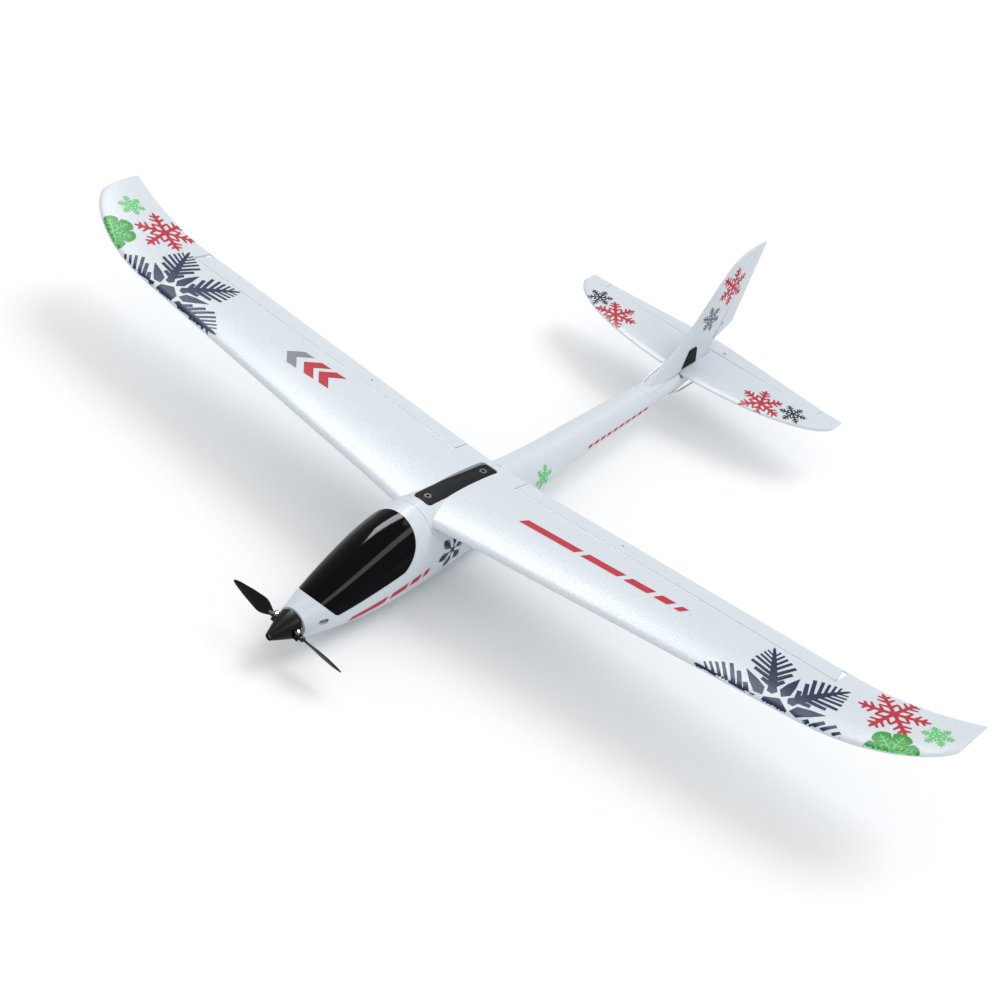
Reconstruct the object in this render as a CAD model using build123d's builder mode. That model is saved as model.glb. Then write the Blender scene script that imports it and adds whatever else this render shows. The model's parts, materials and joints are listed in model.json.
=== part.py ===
"""Radio-controlled foam sailplane, 780 mm span, modelled as the separate pieces it is assembled from.

Frame, in millimetres: the nose points along -Y, the left (port) wing along +X, +Z is up.
The origin lies under the middle of the aircraft: halfway between spinner tip and rudder tip,
on the centre line, level with the flat on the belly that it rests on.
"""

from build123d import *

import os
from math import cos, radians, sin, sqrt, tan

# ---------------------------------------------------------------- driving dimensions
SPAN = 780.0
LENGTH = 532.0
GAP = 0.15  # gap between glued or seated pieces that meet
FOAM_WALL = 7.0  # thickness of the moulded foam round the equipment bay

NOSE_TIP_Y = -LENGTH / 2
TAIL_TIP_Y = LENGTH / 2
NOSE_AXIS_Z = 23.5  # height of the propeller shaft

# Fuselage stations: y, half width, top z, bottom z. The bottom is then cut flat at z = 0.
STATIONS = [
    (-243.5, 11.3, 34.8, 12.2),
    (-232, 14.6, 39.3, 8.8),
    (-212, 19.0, 47.2, 4.8),
    (-192, 22.3, 54.6, 1.0),
    (-167, 25.2, 62.6, -1.0),
    (-142, 26.5, 66.8, -1.6),
    (-117, 26.2, 66.5, -1.4),
    (-92, 23.9, 63.2, -1.8),
    (-62, 20.8, 58.0, -1.6),
    (-32, 17.7, 53.0, 0.0),
    (8, 15.0, 48.2, 11.8),
    (48, 13.4, 46.6, 17.2),
    (88, 12.0, 45.6, 19.4),
    (128, 10.3, 44.0, 21.3),
    (163, 8.6, 42.0, 22.6),
    (213, 6.2, 39.0, 25.4),
]

# Wing
SADDLE_Z = 54.0  # flat seat of the wing on the fuselage
WING_FRONT_Y = -134.0  # joint between fuselage and wing fairing
ROOT_LE_Y = -133.8
ROOT_TE_Y = -42.0
ROOT_TE_Z = 55.4
LE_SWEEP = 0.105
TE_SWEEP = 0.0212
DIHEDRAL = 0.0434
TIP_START_X = 296.0
TIP_CURL = 11.9  # extra rise of the wing tip above the dihedral line
TIP_CURL_START_X = 306.0
TIP_ROUNDING = 40.0  # how far the leading edge sweeps back at the tip
TE_THICKNESS = 1.2
CAMBER = 0.026  # of the chord
INCIDENCE_RISE = 3.0  # leading edge above trailing edge at the root

# Ailerons
AILERON_IN_X = 28.0
AILERON_OUT_X = 296.0
AILERON_HINGE_IN = (28.0, -56.2)  # x, y of the hinge line
AILERON_HINGE_OUT = (296.0, -52.8)
AILERON_TRAVEL = 22.0
AILERON_LINK_X = 117.0  # where servo, rod and horn sit
AILERON_ARM = 9.0

# Tail
STAB_Z = 39.0
STAB_HALF_SPAN = 122.0
STAB_LE_Y = 176.0
STAB_TE_Y = 237.5
ELEVATOR_HINGE_Y = 221.5
ELEVATOR_HALF = 104.0
ELEVATOR_TRAVEL = 22.0
ELEVATOR_ARM = 10.5
RUDDER_HINGE_LOW = (217.6, 51.0)  # y, z
RUDDER_HINGE_HIGH = (251.2, 117.0)
RUDDER_TRAVEL = 25.0
RUDDER_ARM = 8.5
GROOVE_SPARE = 9.0  # degrees of hinge groove beyond the travel

# Propeller
PROP_RADIUS = 50.0
PROP_TILT = 6.0  # degrees that the propeller rests turned by, port blade low
PIN_X = 10.0  # fold pins either side of the shaft
PIN_Y = -248.9
SPINNER_OUT = [(-266, 2.7), (-262.5, 4.2), (-256, 6.9), (-250, 9.2), (-245.5, 10.5)]  # y, radius
BLADE = [  # radius, chord, thickness, pitch
    (14.5, 4.2, 2.0, 44),
    (19.0, 8.6, 1.7, 38),
    (24.0, 11.0, 1.5, 32),
    (32.0, 9.6, 1.3, 25),
    (41.0, 6.8, 1.0, 19),
    (47.0, 4.0, 0.8, 17),
    (PROP_RADIUS, 1.4, 0.6, 16),
]

# Canopy: its side outline, swept right across the fuselage, as (y, z)
CANOPY_FRONT = (-230.2, 39.0)
CANOPY_LOW_FRONT = (-219.6, 27.0)
CANOPY_LOW_REAR = (-163.0, 38.6)
CANOPY_REAR_SWELL = (-151.6, 51.0)
CANOPY_REAR = (-147.0, 66.5)
CANOPY_TOP_Z = 90  # clear above the aircraft, as is the next one ahead of the canopy
CANOPY_NOSE_Y = -236.5
SHELL = 1.3  # the canopy's hard skin
SEAM = 0.3  # open line between canopy and fuselage

# Motor
MOTOR_BORE_R = 9.4
CAN_R = 8.7
SHAFT_R = 0.98
SHAFT_END_Y = -251.4
FIREWALL_R = 12.2
FIREWALL_Y = (-231.0, -228.5)

# Push rods and their guide tubes
ELEVATOR_ROD = (7.2, STAB_Z - ELEVATOR_ARM)  # x, z of the straight run inside the boom
RUDDER_ROD = (-6.0, 38.0)
TUBE_R = 1.5
TUBE_BORE_R = 0.6
TUBE_START_Y = -47.0
ELEVATOR_EXIT_Y = 160.0
RUDDER_EXIT_Y = 132.0
ROD_R = 0.5
WIRE_HOLE_R = 0.58
SLOT_HALF = 0.8  # half width of the slots that the tail wires work in

# Equipment bay
MAGNET_Z = 57.0
MAGNET_R = 2.5
TRAY_Z = (11.0, 12.2)
BATTERY_HALF = 8.5
BATTERY_Y = (-193.0, -149.0)
BATTERY_Z = (TRAY_Z[1] + 0.1, TRAY_Z[1] + 12.1)
SERVO_HALF = 3.9
SERVO_BOSS_R = 2.6
RUDDER_SERVO = (RUDDER_ROD[0] + RUDDER_ARM, -104.0, RUDDER_ROD[1])  # shaft x, shaft y, rod z
ELEVATOR_SERVO = (ELEVATOR_ROD[0] - ELEVATOR_ARM, -80.0, ELEVATOR_ROD[1])

# Seats of wing, fin and tailplane, and what holds them down
SCREW_Y = (-118.5, -58.0)
SCREW_SEAT_Z = (66.0, 57.1)
SCREW_BLOCK_HALF = (13.0, 11.0)
PLATE_HALF = 7.4
PLATE_Y = (-125.5, -49.0)
PLATE_PROUD = 0.7
PLATE_DEEP = 1.8
PLATE_CORNER = 3.2
PLATE_FLOOR_Z = SADDLE_Z + 0.8
TAIL_SEAT_Z = STAB_Z - 2.8
FIN_BOTTOM_Z = STAB_Z + 2.8
FIN_SEAT_Z = 39.8
FIN_FRONT_Y = 130.0
CLIP_OUTLINE = [(176, 43.2), (195, 43.2), (192, 57.5), (184, 57.5)]  # y, z
CLIP_SCREW = (187.5, 49.0)

SIDE_PLANE = Plane(origin=(0, 0, 0), x_dir=(0, 1, 0), z_dir=(1, 0, 0))  # drawn as (y, z)

os.makedirs("parts", exist_ok=True)


def save(part, name):
    """Labels a finished piece and writes it as its own node."""
    part.label = name
    export_step(part, f"parts/{name}.step")


def mirrored(part):
    """The starboard twin of a port piece."""
    return mirror(part, about=Plane.YZ)


# ---------------------------------------------------------------- shape helpers
def fuselage_loft(inset, y_from, y_to):
    """The fuselage's round form between two stations, drawn in by inset all round."""
    with BuildPart() as body:
        for y, half_width, top, bottom in STATIONS:
            if y_from - 0.01 <= y <= y_to + 0.01:
                middle = (top + bottom) / 2
                with BuildSketch(Plane(origin=(0, y, middle), x_dir=(1, 0, 0), z_dir=(0, 1, 0))):
                    Ellipse(half_width - inset, (top - bottom) / 2 - inset)
        loft()
    return body.part


def box_between(x0, x1, y0, y1, z0, z1):
    """A block given by its limits along each axis."""
    block = Box(x1 - x0, y1 - y0, z1 - z0, mode=Mode.PRIVATE)
    return Pos((x0 + x1) / 2, (y0 + y1) / 2, (z0 + z1) / 2) * block


def shared(form, block):
    """The part of a form that lies inside a block."""
    with BuildPart() as common:
        add(form)
        add(block, mode=Mode.INTERSECT)
    return common.part


def thickness_law(s):
    """Half thickness of the aerofoil along the chord, for a full thickness of one."""
    return 5 * (0.2969 * sqrt(s) - 0.1260 * s - 0.3516 * s**2 + 0.2843 * s**3 - 0.1036 * s**4)


def aerofoil_points(chord, thickness, camber, te_thickness, per_side=11):
    """Outline from the upper trailing edge round the nose to the lower one, as (along, up)."""
    upper, lower = [], []
    for i in range(per_side + 1):
        s = (1 - cos(radians(180 * i / per_side))) / 2
        half = thickness * thickness_law(s) + te_thickness / 2 * s
        rise = 4 * camber * s * (1 - s)
        upper.append((s * chord, rise + half))
        lower.append((s * chord, rise - half))
    return list(reversed(upper)) + lower[1:]


def wing_le_y(x):
    bend = max(0.0, (x - TIP_START_X) / (SPAN / 2 + 2 - TIP_START_X))
    return ROOT_LE_Y + LE_SWEEP * x + TIP_ROUNDING * (1 - sqrt(1 - bend**2))


def wing_te_y(x):
    bend = max(0.0, (x - TIP_START_X) / (SPAN / 2 - TIP_START_X))
    return ROOT_TE_Y + TE_SWEEP * (x - AILERON_IN_X) + 10.2 * bend**1.7


def wing_te_z(x):
    curl = max(0.0, (x - TIP_CURL_START_X) / (SPAN / 2 - TIP_CURL_START_X))
    return ROOT_TE_Z + 0.6 + DIHEDRAL * (x - AILERON_IN_X) + TIP_CURL * curl**2


def wing_section(x):
    """The wing's outline at span station x, as points (y, z)."""
    chord = wing_te_y(x) - wing_le_y(x)
    share = max(0.0, (x - TIP_START_X) / (SPAN / 2 - TIP_START_X))
    thickness = chord * (0.104 - 0.02 * share**2)
    rise = INCIDENCE_RISE * chord / (ROOT_TE_Y - ROOT_LE_Y)
    te_z = wing_te_z(x)
    return [
        (wing_le_y(x) + along, te_z + rise * (1 - along / chord) + up)
        for along, up in aerofoil_points(chord, thickness, CAMBER * chord, TE_THICKNESS)
    ]


def section_face(plane, points):
    """A closed aerofoil face on a plane from its outline points."""
    with BuildSketch(plane) as face:
        with BuildLine():
            Spline(*points)
            Line(points[-1], points[0])
        make_face()
    return face.sketch


def hinge_frame(origin, axis):
    """Plane whose X runs along a hinge axis; its Y points aft and its Z up or outwards."""
    return Plane(origin=origin, x_dir=axis, z_dir=up_from(axis))


def up_from(axis):
    along = Vector(*axis).normalized()
    aft = Vector(0, 1, 0)
    aft = (aft - along * aft.dot(along)).normalized()
    return along.cross(aft)


def hinge_tools(frame, length, radius, travel, reach=24.0, height=14.0):
    """Cutters for a hinge line that starts at the frame's origin and runs along its X.

    Returns the space taken out of the fixed surface and the space the moving surface may fill.
    """
    across = Plane(origin=frame.origin, x_dir=frame.y_dir, z_dir=frame.x_dir)
    lean = height * tan(radians(travel + GROOVE_SPARE))
    with BuildPart() as cove:
        with BuildSketch(across):
            Polygon((0, 0), (-lean, height), (reach, height), (reach, -height), (-lean, -height),
                    align=None)
            Circle(radius + 0.3)
        extrude(amount=length)
    with BuildPart() as surface:
        with BuildSketch(across):
            Polygon((0, height), (reach, height), (reach, -height), (0, -height), align=None)
            Circle(radius)
        extrude(amount=length)
    return cove.part, surface.part


def wire(points, radii, radius=ROD_R):
    """A bent steel wire of round section through the points."""
    with BuildPart() as rod:
        with BuildLine() as path:
            FilletPolyline(*points, radius=radii)
        with BuildSketch(Plane(origin=path.line @ 0, z_dir=path.line % 0)):
            Circle(radius)
        sweep()
    return rod.part


# ---------------------------------------------------------------- fuselage and canopy
with BuildPart() as outer_form:
    add(fuselage_loft(0, STATIONS[0][0], STATIONS[-1][0]))
    add(box_between(-40, 40, -300, 300, -20, 0), mode=Mode.SUBTRACT)


def canopy_cutter(inset):
    """The canopy's side outline extruded across, drawn in by inset."""
    with BuildPart() as cutter:
        with BuildSketch(SIDE_PLANE):
            with BuildLine():
                Polyline((CANOPY_NOSE_Y, CANOPY_TOP_Z), (CANOPY_NOSE_Y, 46), CANOPY_FRONT, CANOPY_LOW_FRONT,
                         CANOPY_LOW_REAR)
                ThreePointArc(CANOPY_LOW_REAR, CANOPY_REAR_SWELL, CANOPY_REAR)
                Polyline(CANOPY_REAR, (CANOPY_REAR[0], CANOPY_TOP_Z), (CANOPY_NOSE_Y, CANOPY_TOP_Z))
            make_face()
            fillet(vertices().sort_by_distance((*CANOPY_LOW_FRONT, 0))[0], radius=4.0)
            if inset:
                offset(amount=-inset, kind=Kind.INTERSECTION)
        extrude(amount=40, both=True)
    return cutter.part


with BuildPart() as bay:
    add(fuselage_loft(FOAM_WALL, -232, -32))
    add(box_between(-40, 40, -240, -228.5, -5, 90), mode=Mode.SUBTRACT)
    add(box_between(-40, 40, -44, -20, -5, 90), mode=Mode.SUBTRACT)
    # bridge behind the canopy that carries the latch magnet
    add(box_between(-40, 40, -148, -139, 47, 90), mode=Mode.SUBTRACT)

rudder_slot = box_between(-9.6, -4.6, RUDDER_EXIT_Y - 0.1, 158, RUDDER_ROD[1] - 1.2, 60)


def tray_slab(servo, spare):
    """The space of a servo tray: y from ahead of the servo to behind it, z just under its lugs."""
    y, rod_z = servo[1:]
    top = rod_z - 11.1
    return box_between(-40, 40, y - 20 - spare, y + 10 + spare, top - 2.0 - spare, top + spare)


with BuildPart() as fuselage:
    add(outer_form.part)
    add(bay.part, mode=Mode.SUBTRACT)
    add(canopy_cutter(0), mode=Mode.SUBTRACT)
    # motor bore and the recess of the plastic firewall
    with BuildSketch(Plane(origin=(0, -244, NOSE_AXIS_Z), z_dir=(0, 1, 0))):
        Circle(MOTOR_BORE_R)
    extrude(amount=14, mode=Mode.SUBTRACT)
    with BuildSketch(Plane(origin=(0, FIREWALL_Y[0] - 0.05, NOSE_AXIS_Z), z_dir=(0, 1, 0))):
        Circle(FIREWALL_R + GAP)
    extrude(amount=2.6, mode=Mode.SUBTRACT)
    # cooling inlet each side of the nose, drilled in and aft
    for side in (-1, 1):
        along = (side * 0.78, 0.62, 0)
        aft_and_in = (-side * 0.62, 0.78, 0.05)
        with BuildSketch(Plane(origin=(side * 20.0, -236.5, 25.6), x_dir=along, z_dir=aft_and_in)):
            SlotOverall(6.4, 4.2)
        extrude(amount=16, mode=Mode.SUBTRACT)
    # seat of the wing
    add(box_between(-40, 40, WING_FRONT_Y - GAP, ROOT_TE_Y + 2.0, SADDLE_Z - 0.1, 90), mode=Mode.SUBTRACT)
    # seats of the fin fairing and of the stabiliser
    add(box_between(-40, 40, FIN_FRONT_Y, 240, FIN_SEAT_Z, 90), mode=Mode.SUBTRACT)
    add(box_between(-40, 40, STAB_LE_Y - 1.2, 240, TAIL_SEAT_Z, 90), mode=Mode.SUBTRACT)
    # bores of the two push-rod guide tubes and the slots they end in
    for (rod_x, rod_z), exit_y in ((ELEVATOR_ROD, ELEVATOR_EXIT_Y), (RUDDER_ROD, RUDDER_EXIT_Y)):
        with BuildSketch(Plane(origin=(rod_x, TUBE_START_Y - 4, rod_z), z_dir=(0, 1, 0))):
            Circle(TUBE_R + 0.05)
        extrude(amount=exit_y - TUBE_START_Y + 4, mode=Mode.SUBTRACT)
    add(box_between(4.9, 20, ELEVATOR_EXIT_Y - 0.1, 216, ELEVATOR_ROD[1] - 1.6, ELEVATOR_ROD[1] + 1.6),
        mode=Mode.SUBTRACT)
    add(rudder_slot, mode=Mode.SUBTRACT)
    # pocket of the latch magnet in the bridge
    with BuildSketch(Plane(origin=(0, -148.3, MAGNET_Z), z_dir=(0, 1, 0))):
        Circle(MAGNET_R + 0.1)
    extrude(amount=3.5, mode=Mode.SUBTRACT)
    # pockets of the two screw blocks that hold the wing
    for screw_y in SCREW_Y:
        add(box_between(-21, 21, screw_y - 5.1, screw_y + 5.1, SADDLE_Z - 9.1, 90), mode=Mode.SUBTRACT)
    # grooves of the two servo trays
    for servo in (RUDDER_SERVO, ELEVATOR_SERVO):
        add(shared(fuselage_loft(FOAM_WALL - 1.5, -142, -32), tray_slab(servo, 0.1)), mode=Mode.SUBTRACT)

with BuildPart() as fuselage_left:
    add(fuselage.part)
    split(bisect_by=Plane.YZ, keep=Keep.TOP)
with BuildPart() as fuselage_right:
    add(fuselage.part)
    split(bisect_by=Plane.YZ.offset(-0.02), keep=Keep.BOTTOM)
save(fuselage_left.part, "fuselage_left")
save(fuselage_right.part, "fuselage_right")

with BuildPart() as canopy_shell:
    add(outer_form.part)
    add(canopy_cutter(SEAM), mode=Mode.INTERSECT)
    add(fuselage_loft(SHELL, STATIONS[0][0], -117), mode=Mode.SUBTRACT)
save(canopy_shell.part, "canopy_shell")

with BuildPart() as canopy_liner:
    add(fuselage_loft(SHELL + 0.05, STATIONS[0][0], -117))
    add(canopy_cutter(SEAM + 0.05), mode=Mode.INTERSECT)
    add(shared(fuselage_loft(FOAM_WALL, -232, -142), box_between(-40, 40, -221, -155.5, -5, 90)),
        mode=Mode.SUBTRACT)
    with BuildSketch(Plane(origin=(0, -153.4, MAGNET_Z), z_dir=(0, 1, 0))):
        Circle(MAGNET_R + 0.1)
    extrude(amount=8, mode=Mode.SUBTRACT)
save(canopy_liner.part, "canopy_liner")

for magnet_name, magnet_y in (("canopy_magnet", -153.3), ("fuselage_magnet", -147.0)):
    with BuildPart() as magnet:
        with BuildSketch(Plane(origin=(0, magnet_y, MAGNET_Z), z_dir=(0, 1, 0))):
            Circle(MAGNET_R)
        extrude(amount=2.0)
    save(magnet.part, magnet_name)

# ---------------------------------------------------------------- equipment in the fuselage
with BuildPart() as equipment_tray:
    add(fuselage_loft(FOAM_WALL + GAP, -232, -92))
    add(box_between(-40, 40, -196, -116, *TRAY_Z), mode=Mode.INTERSECT)
save(equipment_tray.part, "equipment_tray")

with BuildPart() as battery:
    add(box_between(-BATTERY_HALF, BATTERY_HALF, *BATTERY_Y, *BATTERY_Z))
    fillet(edges().filter_by(Axis.Y), radius=1.6)
save(battery.part, "battery")

with BuildPart() as battery_strap:
    add(box_between(-BATTERY_HALF - 0.9, BATTERY_HALF + 0.9, -178, -168, BATTERY_Z[0], BATTERY_Z[1] + 0.9))
    fillet(edges().filter_by(Axis.Y).group_by(Axis.Z)[-1], radius=2.0)
    add(box_between(-BATTERY_HALF - 0.1, BATTERY_HALF + 0.1, -179, -167, 0, BATTERY_Z[1] + 0.1),
        mode=Mode.SUBTRACT)
save(battery_strap.part, "battery_strap")

with BuildPart() as receiver_board:
    add(box_between(-12.5, -1.0, -145, -121, TRAY_Z[1] + 0.1, TRAY_Z[1] + 1.3))
    add(box_between(-10.5, -3.5, -141, -132, TRAY_Z[1] + 1.3, TRAY_Z[1] + 2.9))
    add(box_between(-11.5, -2.0, -127, -122, TRAY_Z[1] + 1.3, TRAY_Z[1] + 6.3))
save(receiver_board.part, "receiver_board")

with BuildPart() as speed_controller:
    add(box_between(1.0, 12.0, -145, -123, TRAY_Z[1] + 0.1, TRAY_Z[1] + 4.6))
    fillet(edges().filter_by(Axis.Y), radius=0.8)
save(speed_controller.part, "speed_controller")


def servo_tray(servo):
    """The plywood plate across the fuselage that a tail servo hangs in."""
    x, y = servo[:2]
    with BuildPart() as tray:
        add(fuselage_loft(FOAM_WALL - 1.4, -142, -32))
        add(tray_slab(servo, 0), mode=Mode.INTERSECT)
        add(box_between(x - 4.1, x + 4.1, y - 15.2, y + 5.2, 0, 60), mode=Mode.SUBTRACT)
    return tray.part


def tail_servo(servo):
    """A servo standing in its tray, output shaft on top at its rear end."""
    x, y, rod_z = servo
    with BuildPart() as body:
        add(box_between(x - SERVO_HALF, x + SERVO_HALF, y - 15, y + 5, rod_z - 16.5, rod_z - 4.2))
        fillet(edges().filter_by(Axis.Z), radius=0.8)
        add(box_between(x - SERVO_HALF, x + SERVO_HALF, y - 19, y + 9, rod_z - 11.0, rod_z - 9.6))
        with BuildSketch(Plane.XY.offset(rod_z - 4.2)):
            with Locations((x, y)):
                Circle(SERVO_BOSS_R)
        extrude(amount=1.2)
    return body.part


def tail_servo_arm(servo, reach):
    """The lever on a tail servo; the wire passes down through a slot at its end."""
    x, y, rod_z = servo
    side = 1 if reach > 0 else -1
    with BuildPart() as arm:
        with BuildSketch(Plane.XY.offset(rod_z - 2.6)):
            with Locations((x, y)):
                Circle(SERVO_BOSS_R)
            with Locations((x + reach / 2, y)):
                Rectangle(abs(reach), 3.6)
            with Locations((x + reach + side * 0.45, y)):
                SlotOverall(6.6, 3.6)
            with Locations((x + reach + side * 0.45, y)):
                SlotOverall(3.4, 1.6, mode=Mode.SUBTRACT)
        extrude(amount=1.2)
    return arm.part


for tray_name, servo in (("rudder_servo_tray", RUDDER_SERVO), ("elevator_servo_tray", ELEVATOR_SERVO)):
    save(servo_tray(servo), tray_name)
save(tail_servo(RUDDER_SERVO), "rudder_servo")
save(tail_servo(ELEVATOR_SERVO), "elevator_servo")
save(tail_servo_arm(RUDDER_SERVO, -RUDDER_ARM), "rudder_servo_arm")
save(tail_servo_arm(ELEVATOR_SERVO, ELEVATOR_ARM), "elevator_servo_arm")

for tube_name, (rod_x, rod_z), exit_y in (
    ("elevator_guide_tube", ELEVATOR_ROD, ELEVATOR_EXIT_Y),
    ("rudder_guide_tube", RUDDER_ROD, RUDDER_EXIT_Y),
):
    with BuildPart() as tube:
        with BuildSketch(Plane(origin=(rod_x, TUBE_START_Y, rod_z), z_dir=(0, 1, 0))):
            Circle(TUBE_R)
            Circle(TUBE_BORE_R, mode=Mode.SUBTRACT)
        extrude(amount=exit_y - TUBE_START_Y)
    save(tube.part, tube_name)

# ---------------------------------------------------------------- motor and folding propeller
prop_frame = Plane(
    origin=(0, 0, NOSE_AXIS_Z),
    x_dir=(cos(radians(PROP_TILT)), 0, -sin(radians(PROP_TILT))),
    z_dir=(sin(radians(PROP_TILT)), 0, cos(radians(PROP_TILT))),
)
SHAFT_PLANE = Plane(origin=(0, 0, NOSE_AXIS_Z), x_dir=(0, 1, 0), z_dir=(1, 0, 0))
SHAFT_AXIS = Axis((0, 0, NOSE_AXIS_Z), (0, 1, 0))


def turned(points):
    """A solid of revolution about the propeller shaft from (y, radius) points."""
    with BuildPart() as body:
        with BuildSketch(SHAFT_PLANE):
            Polygon(*points, align=None)
        revolve(axis=SHAFT_AXIS)
    return body.part


with BuildPart() as motor_mount:
    add(turned([(FIREWALL_Y[0], 1.08), (FIREWALL_Y[0], FIREWALL_R), (FIREWALL_Y[1], FIREWALL_R),
                (FIREWALL_Y[1], 4.6), (-226.4, 4.6), (-226.4, 1.08)]))
    add(turned([(-240, 1.08), (-240, 3.4), (FIREWALL_Y[0] + 0.5, 3.4), (FIREWALL_Y[0] + 0.5, 1.08)]))
save(motor_mount.part, "motor_mount")
save(turned([(-243, 1.0), (-243, CAN_R - 1.2), (-242, CAN_R), (-232, CAN_R), (-232, CAN_R - 1.4),
             (-240.8, CAN_R - 1.4), (-240.8, 1.0)]), "motor_can")
save(turned([(SHAFT_END_Y, 0), (SHAFT_END_Y, SHAFT_R), (-225.6, SHAFT_R), (-225.6, 0)]), "motor_shaft")

with BuildPart() as spinner:
    with BuildSketch(SHAFT_PLANE):
        with BuildLine():
            Spline(*SPINNER_OUT)
            Polyline(SPINNER_OUT[-1], (-245.5, 9.3), (-250, 8.0), (-255.4, 5.6), (-255.4, 1.3), (-263.2, 1.3),
                     (-263.2, 2.0), (-266, 2.0), SPINNER_OUT[0])
        make_face()
    revolve(axis=SHAFT_AXIS)
    # slots that the blade roots stand out of
    with Locations(*[prop_frame * Pos(side * 9.6, PIN_Y + 0.1, 0) for side in (-1, 1)]):
        Box(8.0, 7.6, 8.2, mode=Mode.SUBTRACT)
save(spinner.part, "spinner")

with BuildPart() as spinner_screw:
    add(turned([(-263.25, 0), (-263.25, 1.9), (-264.8, 1.9), (-264.8, 0)]))
    add(turned([(-263.5, 0), (-263.5, 1.2), (-251.8, 1.2), (-251.8, 0)]))
save(spinner_screw.part, "spinner_screw")

with BuildPart() as prop_yoke:
    add(turned([(-255.1, 1.25), (-255.1, 4.2), (-246.2, 4.2), (-246.2, 1.0), (-251.6, 1.0), (-251.6, 1.25)]))
    with Locations(prop_frame * Pos(0, PIN_Y - 0.1, 0)):
        Box(2 * PIN_X + 4.4, 4.6, 6.4)
    with BuildSketch(Plane(origin=(0, -260, NOSE_AXIS_Z), z_dir=(0, 1, 0))):
        Circle(1.25)
    extrude(amount=8.4, mode=Mode.SUBTRACT)
    with BuildSketch(Plane(origin=(0, -252, NOSE_AXIS_Z), z_dir=(0, 1, 0))):
        Circle(1.0)
    extrude(amount=8, mode=Mode.SUBTRACT)
    for side in (-1, 1):
        with Locations(prop_frame * Pos(side * (PIN_X + 1.4), PIN_Y, 0)):
            Box(9.6, 8, 3.0, mode=Mode.SUBTRACT)
        with Locations(prop_frame * Pos(side * PIN_X, PIN_Y, 0)):
            Cylinder(0.81, 10, mode=Mode.SUBTRACT)
save(prop_yoke.part, "prop_yoke")

with BuildPart() as fold_pins:
    for side in (-1, 1):
        with Locations(prop_frame * Pos(side * PIN_X, PIN_Y, 0)):
            Cylinder(0.8, 7.4)
save(fold_pins.part, "fold_pins")


def blade(side):
    """One propeller blade with its flat root lug round the fold pin."""
    with BuildPart() as body:
        for radius, chord, thick, pitch in BLADE:
            cross = prop_frame * Plane(origin=(side * radius, PIN_Y, 0), x_dir=(0, 1, 0), z_dir=(side, 0, 0))
            with BuildSketch(cross * Rot(0, 0, pitch - 90)):
                Ellipse(chord / 2, thick / 2)
        loft()
        with Locations(prop_frame * Pos(side * PIN_X, PIN_Y, 0)):
            Cylinder(2.2, 2.4)
        with Locations(prop_frame * Pos(side * (PIN_X + 3.0), PIN_Y, 0)):
            Box(6.0, 3.2, 2.4)
        with Locations(prop_frame * Pos(side * PIN_X, PIN_Y, 0)):
            Cylinder(0.86, 10, mode=Mode.SUBTRACT)
    return body.part


save(blade(1), "blade_port")
save(blade(-1), "blade_starboard")

# ---------------------------------------------------------------- wing
def wing_middle_z(x, y):
    """Height of the aerofoil's camber line."""
    chord = wing_te_y(x) - wing_le_y(x)
    s = (y - wing_le_y(x)) / chord
    rise = INCIDENCE_RISE * chord / (ROOT_TE_Y - ROOT_LE_Y)
    return wing_te_z(x) + rise * (1 - s) + 4 * CAMBER * chord * s * (1 - s)


aileron_low_z = wing_middle_z(*AILERON_HINGE_IN)
aileron_high_z = wing_middle_z(*AILERON_HINGE_OUT)
aileron_axis = (
    AILERON_HINGE_OUT[0] - AILERON_HINGE_IN[0],
    AILERON_HINGE_OUT[1] - AILERON_HINGE_IN[1],
    aileron_high_z - aileron_low_z,
)
AILERON_LENGTH = Vector(*aileron_axis).length
aileron_frame = hinge_frame((*AILERON_HINGE_IN, aileron_low_z), aileron_axis)
aileron_cove, aileron_space = hinge_tools(aileron_frame, AILERON_LENGTH, 1.9, AILERON_TRAVEL)

LINK_ALONG = (AILERON_LINK_X - AILERON_IN_X) / aileron_axis[0] * AILERON_LENGTH
link_frame = Plane(
    origin=aileron_frame.from_local_coords(Vector(LINK_ALONG, 0, 0)),
    x_dir=aileron_frame.x_dir,
    z_dir=aileron_frame.z_dir,
)
SERVO_SHAFT = (-30.0, 0.9)  # local y, z of the aileron servo's shaft
SPAR_R = 1.5
SPAR_X = (6.0, 215.0)
SPAR_SHARE = 0.30

WING_X = [0.03, 40, 90, 150, 210, 262, 296, 318, 338, 355, 369, 379, 385.5, 388.6, SPAN / 2]
with BuildPart() as wing_form:
    for x in WING_X:
        add(section_face(Plane(origin=(x, 0, 0), x_dir=(0, 1, 0), z_dir=(1, 0, 0)), wing_section(x)))
    loft()

spar_ends = []
for x in SPAR_X:
    y = wing_le_y(x) + SPAR_SHARE * (wing_te_y(x) - wing_le_y(x))
    spar_ends.append(Vector(x, y, wing_middle_z(x, y)))
spar_line = spar_ends[1] - spar_ends[0]
spar_plane = Plane(origin=spar_ends[0], z_dir=spar_line)

with BuildPart() as spar_left:
    with BuildSketch(spar_plane):
        Circle(SPAR_R)
        Circle(SPAR_R - 0.6, mode=Mode.SUBTRACT)
    extrude(amount=spar_line.length)

with BuildPart() as spar_bore:
    with BuildSketch(spar_plane):
        Circle(SPAR_R + 0.06)
    extrude(amount=spar_line.length + 0.5)


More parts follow.
